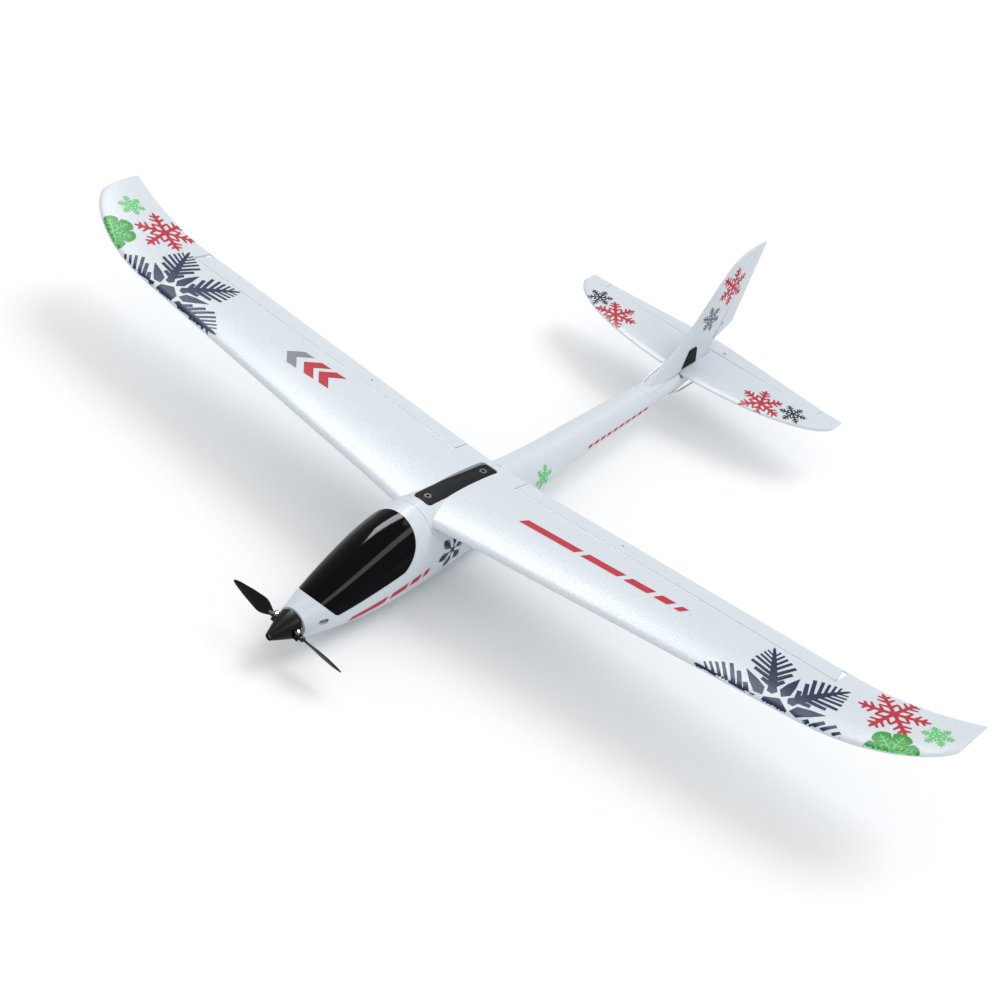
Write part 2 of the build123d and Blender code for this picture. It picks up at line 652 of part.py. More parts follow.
def plate_space(spare, above, below):
    """A rounded plate that follows the fuselage's top, from above it to below it."""
    with BuildPart() as space:
        with BuildSketch(Plane.XY.offset(PLATE_FLOOR_Z - spare)):
            with Locations((0, (PLATE_Y[0] + PLATE_Y[1]) / 2)):
                RectangleRounded(2 * (PLATE_HALF + spare), PLATE_Y[1] - PLATE_Y[0] + 2 * spare,
                                 PLATE_CORNER + spare)
        extrude(amount=30)
        add(fuselage_loft(-above, -167, -8), mode=Mode.INTERSECT)
        add(fuselage_loft(below, -167, -8), mode=Mode.SUBTRACT)
    return space.part


with BuildPart() as wing_left:
    add(wing_form.part)
    # fairing that completes the top of the fuselage
    add(shared(outer_form.part, box_between(0.03, 40, WING_FRONT_Y + GAP, ROOT_TE_Y + 1.6, SADDLE_Z, 90)))
    add(box_between(-1, 24, -140, ROOT_TE_Y + 5, 30, SADDLE_Z + 0.05), mode=Mode.SUBTRACT)
    # recess of the hold-down plate and its screw holes
    add(plate_space(GAP, 6, PLATE_DEEP + 0.1), mode=Mode.SUBTRACT)
    with BuildSketch(Plane.XY.offset(SADDLE_Z - 2)):
        with Locations(*[(0, y) for y in SCREW_Y]):
            Circle(2.0)
    extrude(amount=20, mode=Mode.SUBTRACT)
    add(spar_bore.part, mode=Mode.SUBTRACT)
    # pocket of the servo and slot of its lever
    add(link_frame * box_between(-16.2, -2.8, -35.2, -18.3, -12, 4.1), mode=Mode.SUBTRACT)
    add(link_frame * box_between(-2.9, 1.6, -37, -23.5, -12, 3.6), mode=Mode.SUBTRACT)
    add(aileron_cove, mode=Mode.SUBTRACT)

with BuildPart() as aileron_left:
    add(wing_form.part)
    add(aileron_space, mode=Mode.INTERSECT)
    add(aileron_frame * box_between(-1, 0.6, -5, 30, -20, 20), mode=Mode.SUBTRACT)
    with BuildSketch(aileron_frame):
        Polygon((AILERON_LENGTH - 0.6, -5), (AILERON_LENGTH - 0.9, 0), (AILERON_LENGTH - 4.4, 16),
                (AILERON_LENGTH + 5, 16), (AILERON_LENGTH + 5, -5), align=None)
    extrude(amount=20, both=True, mode=Mode.SUBTRACT)
    # slot that the horn is glued into
    add(link_frame * box_between(-0.7, 0.7, 2.4, 8.1, -6, 0.7), mode=Mode.SUBTRACT)

with BuildPart() as aileron_servo_left:
    add(link_frame * box_between(-16, -3, -35, -18.5, -2.1, 3.9))
    with BuildSketch(link_frame * Plane(origin=(-3.2, *SERVO_SHAFT), x_dir=(0, 1, 0), z_dir=(1, 0, 0))):
        Circle(1.9)
    extrude(amount=1.6)


def lever_outline(centre, reach, hub_r, hole_r):
    """A lever of width 3.2 from a hub down to a wire hole reach below it."""
    with Locations(centre):
        Circle(hub_r)
    with Locations((centre[0], centre[1] - reach / 2)):
        Rectangle(3.2, reach)
    with Locations((centre[0], centre[1] - reach)):
        Circle(1.6)
        Circle(hole_r, mode=Mode.SUBTRACT)


LINK_SIDE = Plane(origin=(-0.6, 0, 0), x_dir=(0, 1, 0), z_dir=(1, 0, 0))
with BuildPart() as aileron_arm_left:
    with BuildSketch(link_frame * LINK_SIDE):
        lever_outline(SERVO_SHAFT, AILERON_ARM, 2.2, WIRE_HOLE_R)
    extrude(amount=1.2)
    with BuildSketch(link_frame * Plane(origin=(-1.5, *SERVO_SHAFT), x_dir=(0, 1, 0), z_dir=(1, 0, 0))):
        Circle(2.2)
    extrude(amount=1.0)

with BuildPart() as aileron_horn_left:
    with BuildSketch(link_frame * LINK_SIDE):
        Polygon((2.5, 0.6), (8.0, 0.6), (8.0, -2.7), (1.8, -9.9), (0, -10.6), (-1.6, -9.6), (-1.4, -8.0),
                (2.5, -2.7), align=None)
        with Locations((0, -AILERON_ARM)):
            Circle(WIRE_HOLE_R, mode=Mode.SUBTRACT)
    extrude(amount=1.2)
    add(link_frame * box_between(-2.6, 2.6, 1.6, 8.6, -3.4, -2.6))

arm_end = Vector(0, SERVO_SHAFT[0], SERVO_SHAFT[1] - AILERON_ARM)
aileron_rod_points = [
    (-1.8, arm_end.Y, arm_end.Z),
    (2.2, arm_end.Y, arm_end.Z),
    (2.2, 0, -AILERON_ARM),
    (-1.8, 0, -AILERON_ARM),
]
aileron_rod_left = wire([link_frame.from_local_coords(Vector(*point)) for point in aileron_rod_points], 1.0)

for piece_name, piece in (
    ("wing", wing_left.part),
    ("aileron", aileron_left.part),
    ("spar", spar_left.part),
    ("aileron_servo", aileron_servo_left.part),
    ("aileron_servo_arm", aileron_arm_left.part),
    ("aileron_horn", aileron_horn_left.part),
    ("aileron_pushrod", aileron_rod_left),
):
    twin = mirrored(piece)
    save(piece, f"{piece_name}_left")
    save(twin, f"{piece_name}_right")

# hold-down plate, screws and the blocks they bite into
with BuildPart() as wing_plate:
    add(plate_space(0, PLATE_PROUD, PLATE_DEEP))
    with BuildSketch(Plane.XY.offset(40)):
        with Locations(*[(0, y) for y in SCREW_Y]):
            Circle(1.75)
    extrude(amount=50, mode=Mode.SUBTRACT)
    for y, seat_z in zip(SCREW_Y, SCREW_SEAT_Z):
        with BuildSketch(Plane.XY.offset(seat_z - 1.0)):
            with Locations((0, y)):
                Circle(2.9)
        extrude(amount=20, mode=Mode.SUBTRACT)
save(wing_plate.part, "wing_plate")

with BuildPart() as wing_screws:
    for y, seat_z in zip(SCREW_Y, SCREW_SEAT_Z):
        with BuildSketch(Plane.XY.offset(seat_z - 0.9)):
            with Locations((0, y)):
                Circle(2.6)
        extrude(amount=1.7)
        with BuildSketch(Plane.XY.offset(seat_z + 0.8)):
            with Locations((0, y)):
                RegularPolygon(1.3, 6)
        extrude(amount=-1.2, mode=Mode.SUBTRACT)
        with BuildSketch(Plane.XY.offset(seat_z - 0.9)):
            with Locations((0, y)):
                Circle(1.45)
        extrude(amount=SADDLE_Z - 7.5 - seat_z + 0.9)
save(wing_screws.part, "wing_screws")

with BuildPart() as screw_blocks:
    for y, half in zip(SCREW_Y, SCREW_BLOCK_HALF):
        add(box_between(-half, half, y - 5, y + 5, SADDLE_Z - 9, SADDLE_Z - 0.15))
    with BuildSketch(Plane.XY.offset(SADDLE_Z)):
        with Locations(*[(0, y) for y in SCREW_Y]):
            Circle(1.5)
    extrude(amount=-20, mode=Mode.SUBTRACT)
save(screw_blocks.part, "wing_screw_blocks")

# ---------------------------------------------------------------- tailplane and elevator
STAB_THICKNESS = 5.0


def stab_le_y(x):
    return STAB_LE_Y + 45 * (1 - sqrt(1 - (x / (STAB_HALF_SPAN + 1.2)) ** 2))


def stab_te_y(x):
    return STAB_TE_Y - 8.5 * min(1.0, x / ELEVATOR_HALF)


def symmetric_section(le_y, te_y, thickness):
    """A symmetric outline as (y, offset) points."""
    points = aerofoil_points(te_y - le_y, thickness, 0.0, 1.2, per_side=9)
    return [(le_y + along, up) for along, up in points]


with BuildPart() as stab_half:
    for turn in range(0, 91, 9):
        x = STAB_HALF_SPAN * sin(radians(turn))
        share = 0.3 + 0.7 * cos(radians(turn)) ** 0.4
        plane = Plane(origin=(x, 0, STAB_Z), x_dir=(0, 1, 0), z_dir=(1, 0, 0))
        add(section_face(plane, symmetric_section(stab_le_y(x), stab_te_y(x), STAB_THICKNESS * share)))
    loft(ruled=True)
with BuildPart() as stab_form:
    add(stab_half.part)
    mirror(about=Plane.YZ)

elevator_frame = hinge_frame((-ELEVATOR_HALF - 0.5, ELEVATOR_HINGE_Y, STAB_Z), (1, 0, 0))
elevator_cove, elevator_space = hinge_tools(elevator_frame, 2 * ELEVATOR_HALF + 1, 1.4, ELEVATOR_TRAVEL)
HORN_X = ELEVATOR_ROD[0] + 1.0
with BuildPart() as stabilizer:
    add(stab_form.part)
    add(elevator_cove, mode=Mode.SUBTRACT)
save(stabilizer.part, "stabilizer")

with BuildPart() as elevator:
    add(stab_form.part)
    add(elevator_space, mode=Mode.INTERSECT)
    add(box_between(-ELEVATOR_HALF, ELEVATOR_HALF, 200, 260, 20, 60), mode=Mode.INTERSECT)
    add(box_between(HORN_X - 0.7, HORN_X + 0.7, 223.4, 229.6, 30, STAB_Z + 0.6), mode=Mode.SUBTRACT)
save(elevator.part, "elevator")

horn_plane = Plane(origin=(HORN_X - 0.6, ELEVATOR_HINGE_Y, STAB_Z), x_dir=(0, 1, 0), z_dir=(1, 0, 0))
with BuildPart() as elevator_horn:
    with BuildSketch(horn_plane):
        Polygon((2.0, 0.5), (8.0, 0.5), (8.0, -3.0), (2.2, -12.6), (-2.0, -12.6), (-2.0, -9.0), (2.0, -3.0),
                align=None)
        with Locations((0, -ELEVATOR_ARM - 0.35)):
            SlotOverall(2 * SLOT_HALF + 1.5, 2 * SLOT_HALF, rotation=90, mode=Mode.SUBTRACT)
    extrude(amount=1.2)
    add(box_between(HORN_X - 2.4, HORN_X + 2.4, ELEVATOR_HINGE_Y + 1.8, ELEVATOR_HINGE_Y + 8.4,
                    STAB_Z - 3.5, STAB_Z - 2.6))
save(elevator_horn.part, "elevator_horn")

# ---------------------------------------------------------------- fin and rudder
FIN_SECTIONS = [  # z, leading edge y, trailing edge y, thickness
    (FIN_BOTTOM_Z, 132.0, 238.6, 9.4),
    (46, 140.0, 240.0, 8.6),
    (52, 151.5, 242.0, 7.4),
    (60, 165.0, 244.7, 6.4),
    (72, 181.4, 248.7, 5.6),
    (86, 195.0, 253.3, 5.0),
    (100, 207.4, 258.0, 4.5),
    (112, 218.8, 262.0, 4.0),
    (119, 228.0, 264.3, 3.4),
    (122.6, 236.0, 265.5, 2.4),
    (124, 244.0, 266.0, 1.3),
]
with BuildPart() as fin_form:
    for z, le_y, te_y, thickness in FIN_SECTIONS:
        plane = Plane(origin=(0, 0, z), x_dir=(0, 1, 0), z_dir=(0, 0, 1))
        add(section_face(plane, symmetric_section(le_y, te_y, thickness)))
    loft()

rudder_axis = (
    0,
    RUDDER_HINGE_HIGH[0] - RUDDER_HINGE_LOW[0],
    RUDDER_HINGE_HIGH[1] - RUDDER_HINGE_LOW[1],
)
rudder_frame = hinge_frame((0, *RUDDER_HINGE_LOW), rudder_axis)
rudder_cove, rudder_space = hinge_tools(rudder_frame, 95, 1.8, RUDDER_TRAVEL, reach=45)
RUDDER_HORN_ALONG = 8.4
RUDDER_FOOT = 0.6  # gap under the rudder

with BuildPart() as fin:
    add(fin_form.part)
    add(rudder_cove, mode=Mode.SUBTRACT)
    # rear end of the fin's foot, under the rudder
    add(box_between(-20, 20, 217.0, 260, 30, 56), mode=Mode.SUBTRACT)
    # fairing that completes the top of the boom
    boom_top = box_between(-20, 20, FIN_FRONT_Y + GAP, STAB_LE_Y - 1.4, FIN_SEAT_Z + GAP, 90)
    add(shared(outer_form.part, boom_top))
    add(rudder_slot, mode=Mode.SUBTRACT)
    for side in (-1, 1):
        with BuildSketch(Plane(origin=(side * 3.2, 0, 0), x_dir=(0, 1, 0), z_dir=(1, 0, 0))):
            Polygon(*CLIP_OUTLINE, align=None)
            offset(amount=GAP)
        extrude(amount=side * 6, mode=Mode.SUBTRACT)
    with BuildSketch(Plane(origin=(-10, 0, 0), x_dir=(0, 1, 0), z_dir=(1, 0, 0))):
        with Locations(CLIP_SCREW):
            Circle(1.05)
    extrude(amount=20, mode=Mode.SUBTRACT)
save(fin.part, "fin")

with BuildPart() as rudder:
    add(fin_form.part)
    add(rudder_space, mode=Mode.INTERSECT)
    # foot of the rudder, rising towards the trailing edge
    with BuildSketch(SIDE_PLANE):
        Polygon((200, 30), (200, 51.3), (217.0, 51.9), (260, 61.2), (260, 30), align=None)
    extrude(amount=20, both=True, mode=Mode.SUBTRACT)
    add(rudder_frame * box_between(-30, RUDDER_FOOT, -3, 3, -20, 20), mode=Mode.SUBTRACT)
    add(rudder_frame * box_between(RUDDER_HORN_ALONG - 0.7, RUDDER_HORN_ALONG + 0.7, 2.4, 8.6, -0.4, 6),
        mode=Mode.SUBTRACT)
save(rudder.part, "rudder")

rudder_horn_plane = Plane(
    origin=rudder_frame.from_local_coords(Vector(RUDDER_HORN_ALONG - 0.6, 0, 0)),
    x_dir=rudder_frame.z_dir,
    z_dir=rudder_frame.x_dir,
)
with BuildPart() as rudder_horn:
    with BuildSketch(rudder_horn_plane):
        Polygon((-0.2, -2.6), (-0.2, -8.4), (3.2, -8.4), (RUDDER_ARM + 2.6, -1.6), (RUDDER_ARM + 2.6, 1.9),
                (RUDDER_ARM - 1.8, 1.9), (3.2, -2.6), align=None)
        with Locations((RUDDER_ARM + 0.35, 0)):
            SlotOverall(2 * SLOT_HALF + 1.6, 2 * SLOT_HALF, mode=Mode.SUBTRACT)
    extrude(amount=1.2)
save(rudder_horn.part, "rudder_horn")

# ---------------------------------------------------------------- tail clip
with BuildPart() as tail_clips:
    for side in (-1, 1):
        with BuildSketch(Plane(origin=(side * 3.35, 0, 0), x_dir=(0, 1, 0), z_dir=(1, 0, 0))):
            Polygon(*CLIP_OUTLINE, align=None)
            if side < 0:
                with Locations(CLIP_SCREW):
                    Circle(1.05, mode=Mode.SUBTRACT)
        extrude(amount=side * 1.5)
save(tail_clips.part, "tail_clips")
with BuildPart() as tail_screw:
    with BuildSketch(Plane(origin=(-5.0, 0, 0), x_dir=(0, 1, 0), z_dir=(1, 0, 0))):
        with Locations(CLIP_SCREW):
            Circle(1.0)
    extrude(amount=8.2)
    with BuildSketch(Plane(origin=(-5.85, 0, 0), x_dir=(0, 1, 0), z_dir=(1, 0, 0))):
        with Locations(CLIP_SCREW):
            Circle(1.9)
    extrude(amount=0.9)
save(tail_screw.part, "tail_screw")

# ---------------------------------------------------------------- tail push rods
servo_y = ELEVATOR_SERVO[1]
rod_x, rod_z = ELEVATOR_ROD
elevator_rod = wire(
    [
        (rod_x, servo_y, rod_z - 4.0),
        (rod_x, servo_y, rod_z),
        (rod_x, 165.0, rod_z),
        (rod_x + 2.8, 171.0, rod_z),
        (rod_x + 2.8, ELEVATOR_HINGE_Y, rod_z),
        (HORN_X - 1.6, ELEVATOR_HINGE_Y, rod_z),
    ],
    1.0,
)
save(elevator_rod, "elevator_pushrod")

horn_hole = rudder_frame.from_local_coords(Vector(RUDDER_HORN_ALONG, 0, RUDDER_ARM))
leg = Vector(*rudder_axis).normalized()
leg_low = horn_hole - leg * 4.2
leg_high = horn_hole + leg * 3.6
servo_y = RUDDER_SERVO[1]
rod_x, rod_z = RUDDER_ROD
rudder_rod = wire(
    [
        (rod_x, servo_y, rod_z - 4.0),
        (rod_x, servo_y, rod_z),
        (rod_x, 137.2, rod_z),
        (horn_hole.X, 152.0, rod_z + 2.6),
        tuple(leg_low),
        tuple(leg_high),
    ],
    1.0,
)
save(rudder_rod, "rudder_pushrod")
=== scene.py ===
"""Looks of the foam sailplane: materials, printed marks, light and camera. Metres throughout."""

import json
from math import cos, radians, sin

import bmesh
import bpy
from mathutils import Matrix, Vector
from mathutils.bvhtree import BVHTree


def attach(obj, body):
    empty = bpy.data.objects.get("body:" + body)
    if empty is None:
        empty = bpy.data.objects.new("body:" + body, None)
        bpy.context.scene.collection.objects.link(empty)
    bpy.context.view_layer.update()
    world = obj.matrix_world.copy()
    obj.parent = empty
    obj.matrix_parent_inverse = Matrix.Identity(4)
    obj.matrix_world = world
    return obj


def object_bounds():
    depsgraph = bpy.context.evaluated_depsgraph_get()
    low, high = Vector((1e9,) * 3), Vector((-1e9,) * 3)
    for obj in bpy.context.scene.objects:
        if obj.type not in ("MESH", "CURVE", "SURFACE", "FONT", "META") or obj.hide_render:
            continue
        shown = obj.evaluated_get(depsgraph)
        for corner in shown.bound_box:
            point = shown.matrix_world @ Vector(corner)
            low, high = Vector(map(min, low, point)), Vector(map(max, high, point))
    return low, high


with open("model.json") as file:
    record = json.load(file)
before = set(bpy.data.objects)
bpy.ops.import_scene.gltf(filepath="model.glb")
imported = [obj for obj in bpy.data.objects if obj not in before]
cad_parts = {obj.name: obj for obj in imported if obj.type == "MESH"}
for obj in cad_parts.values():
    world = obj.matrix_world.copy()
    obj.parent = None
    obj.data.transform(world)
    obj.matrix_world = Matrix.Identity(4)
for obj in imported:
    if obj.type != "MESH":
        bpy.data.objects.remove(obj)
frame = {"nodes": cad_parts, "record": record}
cad_box = [list(corner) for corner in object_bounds()]
nodes = frame["nodes"]
MM = 0.001

# ---------------------------------------------------------------- materials


def new_material(name, color, roughness, metallic=0.0, coat=0.0, coat_roughness=0.05, specular=0.5):
    """A principled material whose constant values sit straight on the shader."""
    material = bpy.data.materials.new(name)
    material.use_nodes = True
    shader = material.node_tree.nodes["Principled BSDF"]
    shader.inputs["Base Color"].default_value = (*color, 1.0)
    shader.inputs["Roughness"].default_value = roughness
    shader.inputs["Metallic"].default_value = metallic
    shader.inputs["Coat Weight"].default_value = coat
    shader.inputs["Coat Roughness"].default_value = coat_roughness
    shader.inputs["Specular IOR Level"].default_value = specular
    return material, material.node_tree, shader


def texture(tree, kind, scale, stretch=(1, 1, 1)):
    """A procedural texture in object space, in metres."""
    place = tree.nodes.new("ShaderNodeTexCoord")
    mapping = tree.nodes.new("ShaderNodeMapping")
    mapping.inputs["Scale"].default_value = stretch
    node = tree.nodes.new(kind)
    node.inputs["Scale"].default_value = scale
    tree.links.new(place.outputs["Object"], mapping.inputs["Vector"])
    tree.links.new(mapping.outputs["Vector"], node.inputs["Vector"])
    return node


def ramp(tree, source, low, high, color_low, color_high):
    """Turns a texture value into a colour between two stops."""
    node = tree.nodes.new("ShaderNodeValToRGB")
    node.color_ramp.elements[0].position = low
    node.color_ramp.elements[1].position = high
    node.color_ramp.elements[0].color = (*color_low, 1)
    node.color_ramp.elements[1].color = (*color_high, 1)
    tree.links.new(source, node.inputs["Fac"])
    return node


def bump(tree, shader, height, strength, distance, under=None):
    node = tree.nodes.new("ShaderNodeBump")
    node.inputs["Strength"].default_value = strength
    node.inputs["Distance"].default_value = distance
    tree.links.new(height, node.inputs["Height"])
    if under:
        tree.links.new(under.outputs["Normal"], node.inputs["Normal"])
    tree.links.new(node.outputs["Normal"], shader.inputs["Normal"])
    return node


BEADS_PER_METRE = 340


def foam_material():
    """White expanded foam: beads a few millimetres wide, pressed flat against the mould."""
    material, tree, shader = new_material("foam", (0.62, 0.67, 0.715), 0.36, specular=0.2)
    beads = texture(tree, "ShaderNodeTexVoronoi", BEADS_PER_METRE)
    beads.feature = "DISTANCE_TO_EDGE"
    tint = ramp(tree, beads.outputs["Distance"], 0.0, 0.07, (0.575, 0.63, 0.68), (0.62, 0.672, 0.715))
    tree.links.new(tint.outputs["Color"], shader.inputs["Base Color"])
    edges = ramp(tree, beads.outputs["Distance"], 0.0, 0.10, (0, 0, 0), (1, 1, 1))
    first = bump(tree, shader, edges.outputs["Color"], 0.30, 0.00016)
    grain = texture(tree, "ShaderNodeTexNoise", 900)
    bump(tree, shader, grain.outputs["Fac"], 0.16, 0.0001, under=first)
    shader.inputs["Subsurface Weight"].default_value = 0.12
    shader.inputs["Subsurface Radius"].default_value = (0.004, 0.004, 0.005)
    shader.inputs["Subsurface Scale"].default_value = 0.6
    return material


def moulded_plastic(name, color, roughness, grain_scale=2200, strength=0.12, specular=0.5):
    material, tree, shader = new_material(name, color, roughness, specular=specular)
    grain = texture(tree, "ShaderNodeTexNoise", grain_scale)
    bump(tree, shader, grain.outputs["Fac"], strength, 0.00006)
    return material


def gloss_black():
    material, tree, shader = new_material("canopy", (0.0012, 0.0014, 0.002), 0.08, specular=0.065)
    ripple = texture(tree, "ShaderNodeTexNoise", 55)
    bump(tree, shader, ripple.outputs["Fac"], 0.05, 0.0006)
    return material


def brushed(name, color, roughness, stretch):
    material, tree, shader = new_material(name, color, roughness, metallic=1.0)
    lines = texture(tree, "ShaderNodeTexNoise", 900, stretch)
    bump(tree, shader, lines.outputs["Fac"], 0.12, 0.00004)
    return material


def plywood():
    material, tree, shader = new_material("plywood", (0.55, 0.37, 0.2), 0.6)
    grain = texture(tree, "ShaderNodeTexNoise", 160, (1, 0.08, 6))
    tint = ramp(tree, grain.outputs["Fac"], 0.35, 0.65, (0.46, 0.29, 0.14), (0.66, 0.47, 0.27))
    tree.links.new(tint.outputs["Color"], shader.inputs["Base Color"])
    return material


def woven(name, color):
    material, tree, shader = new_material(name, color, 0.85)
    weave = texture(tree, "ShaderNodeTexWave", 900)
    bump(tree, shader, weave.outputs["Fac"], 0.4, 0.0002)
    return material


def ink(name, color):
    """Printing ink on foam: slightly glossy, with the beads showing through."""
    material, tree, shader = new_material(name, color, 0.38, specular=0.16)
    beads = texture(tree, "ShaderNodeTexVoronoi", BEADS_PER_METRE)
    beads.feature = "DISTANCE_TO_EDGE"
    edges = ramp(tree, beads.outputs["Distance"], 0.0, 0.09, (0, 0, 0), (1, 1, 1))
    bump(tree, shader, edges.outputs["Color"], 0.12, 0.0001)
    return material


FOAM = foam_material()
CANOPY = gloss_black()
BLACK = moulded_plastic("black_plastic", (0.004, 0.005, 0.006), 0.42, specular=0.07)
PROP_BLACK = moulded_plastic("propeller_plastic", (0.003, 0.003, 0.0035), 0.36, 1500, specular=0.12)
NYLON = moulded_plastic("nylon", (0.78, 0.78, 0.74), 0.4)
SERVO = moulded_plastic("servo_case", (0.03, 0.045, 0.10), 0.35)
BATTERY = moulded_plastic("battery_wrap", (0.03, 0.12, 0.36), 0.28, 400)
BOARD = moulded_plastic("circuit_board", (0.02, 0.16, 0.06), 0.35, 900, 0.3)
SHRINK = moulded_plastic("heat_shrink", (0.04, 0.04, 0.042), 0.4, 500)
CARBON = woven("carbon", (0.03, 0.03, 0.033))
STRAP = woven("strap", (0.02, 0.02, 0.022))
STEEL = brushed("steel_wire", (0.30, 0.29, 0.28), 0.38, (1, 0.05, 1))
PIN_STEEL = brushed("pin_steel", (0.82, 0.82, 0.83), 0.16, (1, 1, 0.1))
MOTOR = brushed("motor_metal", (0.42, 0.42, 0.45), 0.32, (1, 0.1, 1))
MAGNET = brushed("magnet", (0.8, 0.8, 0.82), 0.12, (1, 1, 1))
SCREW = moulded_plastic("blackened_screw", (0.012, 0.012, 0.013), 0.3)
SPOT = moulded_plastic("screw_spot", (0.36, 0.38, 0.41), 0.5)
PLYWOOD = plywood()
NAVY = ink("ink_navy", (0.002, 0.016, 0.062))
RED = ink("ink_red", (0.46, 0.012, 0.032))
GREEN = ink("ink_green", (0.02, 0.27, 0.03))
LIGHT_GREEN = ink("ink_light_green", (0.12, 0.55, 0.16))
GREY = ink("ink_grey", (0.20, 0.23, 0.26))
SLATE = ink("ink_slate", (0.10, 0.15, 0.21))
INK_BLACK = ink("ink_black", (0.012, 0.014, 0.022))

by_slot = {
    "foam_white": FOAM, "canopy_black": CANOPY, "black_plastic": BLACK, "screw_black": SCREW,
    "steel": STEEL, "motor_metal": MOTOR, "magnet": MAGNET, "plywood": PLYWOOD, "carbon": CARBON,
    "nylon": NYLON, "servo_case": SERVO, "battery_wrap": BATTERY, "strap": STRAP,
    "circuit_board": BOARD, "heat_shrink": SHRINK,
}
special = {
    "fold_pins": PIN_STEEL, "prop_yoke": PROP_BLACK, "blade_port": PROP_BLACK, "blade_starboard": PROP_BLACK,
    "spinner": PROP_BLACK,
}
for entry in frame["record"]["subparts"]:
    node = nodes[entry["node"]]
    node.data.materials.clear()
    node.data.materials.append(special.get(entry["node"], by_slot[entry["material_slot"]]))

# ---------------------------------------------------------------- printed marks
INK_LIFT = 0.10 * MM  # height of one coat above the surface
INK_STEP = 2.2 * MM  # longest edge of a mark, so that it follows the curve below it
PRINT_REACH = 120 * MM  # how far below its placement a mark may land
FACING = 0.12  # a surface turned further away than this cosine takes no ink


def surface_tree(names):
    """One search tree over several CAD nodes, to print on."""
    verts, faces = [], []
    for name in names:
        mesh = nodes[name].data
        start = len(verts)
        verts += [v.co.copy() for v in mesh.vertices]
        faces += [[start + i for i in p.vertices] for p in mesh.polygons]
    return BVHTree.FromPolygons(verts, faces)


def printed(name, outlines, place, tree, material, body="airframe", coats=1):
    """Flat outlines, laid on the surface along place's -Z. place maps outline metres to the shared frame."""
    mesh = bmesh.new()
    for outline in outlines:
        mesh.faces.new([mesh.verts.new((x, y, 0)) for x, y in outline])
    bmesh.ops.triangulate(mesh, faces=mesh.faces[:], ngon_method="EAR_CLIP")
    for _ in range(6):
        long_edges = [e for e in mesh.edges if e.calc_length() > INK_STEP]
        if not long_edges:
            break
        bmesh.ops.subdivide_edges(mesh, edges=long_edges, cuts=1)
        bmesh.ops.triangulate(mesh, faces=[f for f in mesh.faces if len(f.verts) > 3])
    toward = (place.to_3x3() @ Vector((0, 0, -1))).normalized()
    lost = []
    for vert in mesh.verts:
        start = place @ vert.co
        hit, normal, _, _ = tree.ray_cast(start, toward, PRINT_REACH)
        if hit is None or normal.dot(toward) > -FACING:
            lost.append(vert)
        else:
            vert.co = hit - toward * INK_LIFT * coats
    bmesh.ops.delete(mesh, geom=lost, context="VERTS")
    data = bpy.data.meshes.new(name)
    mesh.to_mesh(data)
    mesh.free()
    for polygon in data.polygons:
        polygon.use_smooth = True
    data.materials.append(material)
    piece = bpy.data.objects.new(name, data)
    bpy.context.scene.collection.objects.link(piece)
    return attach(piece, body)


def turned(outline, degrees):
    """The outline turned about the origin."""
    turn = radians(degrees)
    return [(x * cos(turn) - y * sin(turn), x * sin(turn) + y * cos(turn)) for x, y in outline]


def around(outline, first=0):
    """Six copies of an outline, turned evenly about the origin."""
    return [turned(outline, first + 60 * step) for step in range(6)]


def snowflake(size, width, branches, hub=0.13):
    """Outline of a six-armed flake; width, hub and the branches' distances and lengths are shares of size."""
    half = width * size / 2
    arm = [(max(hub * size, half / sin(radians(30)) * cos(radians(30))), half)]
    for along, length, angle in branches:
        lean = radians(angle)
        out = (cos(lean), sin(lean))
        foot = half * 0.85 / sin(lean)
        tip = (along * size + out[0] * length * size, half + out[1] * length * size)
        arm += [(along * size - foot, half), (tip[0] - out[1] * half * 0.5, tip[1] + out[0] * half * 0.5),
                (tip[0] + out[1] * half * 0.5, tip[1] - out[0] * half * 0.5), (along * size + foot, half)]
    arm += [(size * 0.985, half * 0.5), (size, 0)]
    arm += [(x, -y) for x, y in reversed(arm[:-1])]
    outline = []
    for step in range(6):
        outline += turned(arm, -60 * step)
    return outline


def hexagon(radius):
    return [(radius * cos(radians(60 * i + 30)), radius * sin(radians(60 * i + 30))) for i in range(6)]


# branches of an arm: distance along it and length as shares of the flake's size, then the angle
BIG_FLAKE = [(0.36, 0.10, 60), (0.44, 0.21, 57), (0.52, 0.27, 54), (0.61, 0.23, 50), (0.69, 0.18, 47),
             (0.77, 0.14, 44), (0.85, 0.09, 42)]
FINE_FLAKE = [(0.34, 0.24, 60), (0.58, 0.22, 60), (0.78, 0.14, 60)]


def crystal(size):
    """A large ice crystal: a hexagonal heart, six feathered arms and shards between them."""
    arm = [(0.20 * size, 0), (0.235 * size, 0.058 * size), (0.31 * size, 0.046 * size)]
    for along, length, lean in BIG_FLAKE:
        half = 0.062 * size * (1.2 - along)
        thick = 0.048 * size * (1.35 - along)
        out = (cos(radians(lean)), sin(radians(lean)))
        tip = (along * size + out[0] * length * size, half + out[1] * length * size)
        arm += [
            (along * size - thick, half),
            (tip[0] - 0.4 * thick, tip[1]),
            (tip[0] + 0.5 * thick, tip[1] - 0.6 * thick),
            (along * size + thick * 0.6, half),
        ]
    arm += [(0.96 * size, 0.016 * size), (size, 0)]
    arm += [(x, -y) for x, y in reversed(arm[1:-1])]
    shard = [(0.20 * size, 0), (0.28 * size, 0.068 * size), (0.42 * size, 0.05 * size), (0.60 * size, 0)]
    shard += [(x, -y) for x, y in reversed(shard[1:-1])]
    return [hexagon(0.175 * size)] + around(arm) + around(shard, first=30)


